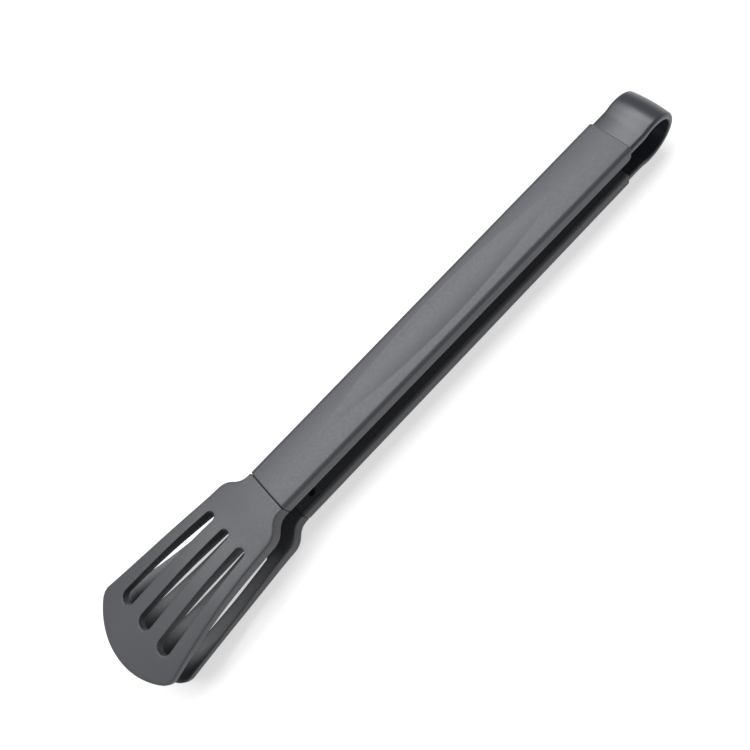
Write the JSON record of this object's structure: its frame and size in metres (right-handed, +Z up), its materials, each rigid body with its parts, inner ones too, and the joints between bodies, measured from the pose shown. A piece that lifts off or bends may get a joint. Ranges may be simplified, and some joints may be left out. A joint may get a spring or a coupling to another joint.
{
  "type": "kitchen tongs",
  "caption": "Spring loaded kitchen tongs: two hollow moulded arms on a sprung bow, each ending in a slotted, flared turner blade",
  "frame": {"origin": "centre of the bounding box's lower face, on the surface that the lower arm lies on", "axes": "+X runs from the blade tips to the bow, +Y is across the width, +Z is up, away from the lower arm's outer face"},
  "size_m": [0.3167, 0.0494, 0.0316],
  "materials": {
    "arm_nylon": "fine moulded grain, satin",
    "cover_nylon": "fine moulded grain, matte",
    "head_nylon": "fine moulded grain, satin",
    "bow_nylon": "fine moulded grain, slightly glossier where it bends",
    "screw_steel": "blackened, fine turning marks",
    "spring_steel": "rolled stainless strip"
  },
  "bodies": {
    "lower_arm": {"lower_arm_shell": "arm_nylon", "lower_inner_cover": "cover_nylon", "lower_turner_head": "head_nylon", "lower_head_screws": "screw_steel", "lower_tail_screw": "screw_steel", "bow_cover": "bow_nylon", "leaf_spring": "spring_steel"},
    "upper_arm": {"upper_arm_shell": "arm_nylon", "upper_inner_cover": "cover_nylon", "upper_turner_head": "head_nylon", "upper_head_screws": "screw_steel", "upper_tail_screw": "screw_steel"}
  },
  "joints": [
    {"name": "squeeze_hinge", "type": "hinge", "parent": "lower_arm", "child": "upper_arm", "pos_m": [0.14175, 0, 0.0139], "axis": [0, -1, 0], "range_deg": [-6, 1.25], "stiffness_Nm_per_rad": 6, "springref_deg": -0.56, "deforming": ["bow_cover", "leaf_spring"]}
  ]
}
